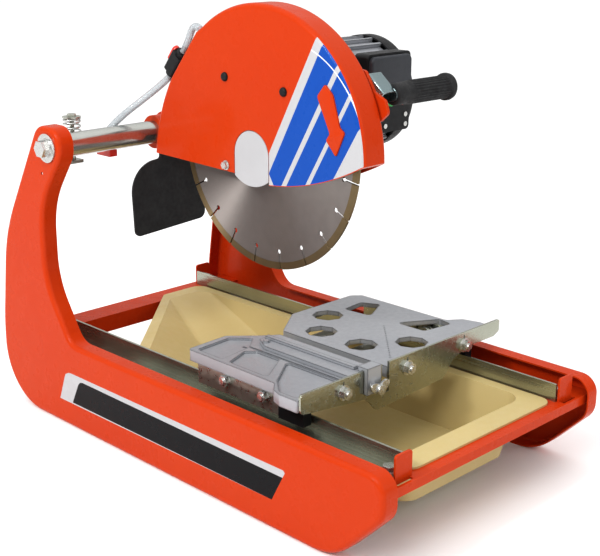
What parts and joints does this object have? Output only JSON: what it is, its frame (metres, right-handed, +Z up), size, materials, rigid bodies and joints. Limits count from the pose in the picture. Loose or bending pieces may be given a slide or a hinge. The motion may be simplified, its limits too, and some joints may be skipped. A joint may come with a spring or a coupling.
{
  "type": "masonry saw",
  "caption": "Bench masonry saw with a tipping motor and blade head on a cross tube, over a rolling table on rails above a water tray.",
  "frame": {"origin": "on the ground, midway between the two side frames and midway along the skids", "axes": "+X to the motor side, +Y to the rear, where the head's cross tube is, +Z up; the operator stands at -Y"},
  "size_m": [0.416, 0.6935, 0.546],
  "materials": {
    "orange_paint": "gloss orange enamel",
    "tray_plastic": "satin cream",
    "plated_steel": "zinc plated",
    "galvanised_tube": "galvanised",
    "spring_steel": "bright",
    "machined_steel": "machined",
    "blade_steel": "ground, with gold-brown cutting rim",
    "cast_aluminium": "cast",
    "silver_paint": "satin silver",
    "black_plastic": "satin",
    "grey_plastic": "satin",
    "black_rubber": "matte",
    "clear_hose": "clear, flexible",
    "hose_fitting_plastic": "gloss red-orange",
    "green_plastic": "gloss",
    "red_plastic": "gloss"
  },
  "bodies": {
    "frame": {"left_side_frame": "orange_paint", "right_side_frame": "orange_paint", "front_crossbar": "orange_paint", "rear_crossbar": "orange_paint", "left_rail": "plated_steel", "right_rail": "plated_steel", "frame_bolts": "plated_steel", "water_tray": "tray_plastic", "pivot_bolts": "plated_steel", "pivot_bushes": "black_plastic", "spring_stud": "plated_steel", "return_spring": "spring_steel"},
    "head": {"pivot_tube": "galvanised_tube", "belt_housing": "orange_paint", "housing_cover": "cast_aluminium", "guard_shell": "orange_paint", "arbor_cover": "silver_paint", "guard_screws": "black_plastic", "splash_flap": "black_rubber", "drive_belt": "black_rubber", "ball_bearings": "machined_steel", "motor_body": "cast_aluminium", "motor_end_shield": "cast_aluminium", "fan_cowl": "black_plastic", "motor_stator": "machined_steel", "switch_housing": "black_plastic", "switch_cover": "grey_plastic", "panel_screws": "plated_steel", "handle_bracket": "orange_paint", "handle_bar": "plated_steel", "handle_grip": "black_rubber", "tap_body": "black_plastic", "supply_hose": "clear_hose", "feed_hose": "clear_hose", "hose_fittings": "hose_fitting_plastic"},
    "arbor": {"saw_blade": "blade_steel", "blade_flanges": "machined_steel", "arbor_shaft": "machined_steel", "arbor_bolt": "plated_steel", "driven_pulley": "machined_steel"},
    "rotor": {"motor_rotor": "machined_steel", "drive_pulley": "machined_steel", "motor_fan": "black_plastic"},
    "table": {"table_plate": "cast_aluminium", "near_plate": "cast_aluminium", "carriage_sides": "plated_steel", "table_crossmembers": "plated_steel", "table_wipers": "black_plastic", "roller_bolts": "plated_steel", "fence": "plated_steel", "fence_bolts": "plated_steel"},
    "left_rear_roller": {"left_rear_roller": "plated_steel"},
    "left_front_roller": {"left_front_roller": "plated_steel"},
    "right_rear_roller": {"right_rear_roller": "plated_steel"},
    "right_front_roller": {"right_front_roller": "plated_steel"},
    "side_guide": {"side_guide": "cast_aluminium"},
    "wing_screw": {"wing_screw": "plated_steel"},
    "tap_lever": {"tap_lever": "hose_fitting_plastic"},
    "start_button": {"start_button": "green_plastic"},
    "stop_button": {"stop_button": "red_plastic"}
  },
  "joints": [
    {"name": "head_pivot", "type": "hinge", "parent": "frame", "child": "head", "pos_m": [0, 0.212, 0.367], "axis": [1, 0, 0], "range_deg": [0, 24], "stiffness_Nm_per_rad": 60, "springref_deg": -35.52, "deforming": ["return_spring"]},
    {"name": "blade_spin", "type": "hinge", "parent": "head", "child": "arbor", "pos_m": [-0.0304, -0.008, 0.377], "axis": [1, 0, 0], "continuous": true},
    {"name": "rotor_spin", "type": "hinge", "parent": "head", "child": "rotor", "pos_m": [0.08, -0.008, 0.427], "axis": [1, 0, 0], "continuous": true},
    {"name": "table_slide", "type": "slide", "parent": "frame", "child": "table", "axis": [0, 1, 0], "range_m": [-0.135, 0.335]},
    {"name": "left_rear_roller_spin", "type": "hinge", "parent": "table", "child": "left_rear_roller", "pos_m": [-0.1341, -0.062, 0.1258], "axis": [1, 0, 0], "continuous": true},
    {"name": "left_front_roller_spin", "type": "hinge", "parent": "table", "child": "left_front_roller", "pos_m": [-0.1341, -0.127, 0.1258], "axis": [1, 0, 0], "continuous": true},
    {"name": "right_rear_roller_spin", "type": "hinge", "parent": "table", "child": "right_rear_roller", "pos_m": [0.1341, -0.062, 0.1258], "axis": [1, 0, 0], "continuous": true},
    {"name": "right_front_roller_spin", "type": "hinge", "parent": "table", "child": "right_front_roller", "pos_m": [0.1341, -0.127, 0.1258], "axis": [1, 0, 0], "continuous": true},
    {"name": "side_guide_slide", "type": "slide", "parent": "table", "child": "side_guide", "axis": [1, 0, 0], "range_m": [-0.022, 0.006]},
    {"name": "wing_screw_turn", "type": "hinge", "parent": "side_guide", "child": "wing_screw", "pos_m": [-0.054, -0.212, 0.132], "axis": [0, 1, 0], "range_deg": [-180, 180]},
    {"name": "tap_turn", "type": "hinge", "parent": "head", "child": "tap_lever", "pos_m": [-0.031, 0.15747, 0.46202], "axis": [0, 0.7682, 0.6402], "range_deg": [0, 90]},
    {"name": "start_press", "type": "slide", "parent": "head", "child": "start_button", "axis": [0, 1, 0], "range_m": [0, 0.003], "stiffness_N_per_m": 500, "springref_m": -0.002},
    {"name": "stop_press", "type": "slide", "parent": "head", "child": "stop_button", "axis": [0, 1, 0], "range_m": [0, 0.003], "stiffness_N_per_m": 500, "springref_m": -0.002}
  ],
  "couplings": [
    {"joint": "rotor_spin", "follows": "blade_spin", "ratio": 1},
    {"joint": "left_rear_roller_spin", "follows": "table_slide", "rad_per_m": -105.26},
    {"joint": "left_front_roller_spin", "follows": "table_slide", "rad_per_m": -105.26},
    {"joint": "right_rear_roller_spin", "follows": "table_slide", "rad_per_m": -105.26},
    {"joint": "right_front_roller_spin", "follows": "table_slide", "rad_per_m": -105.26}
  ]
}
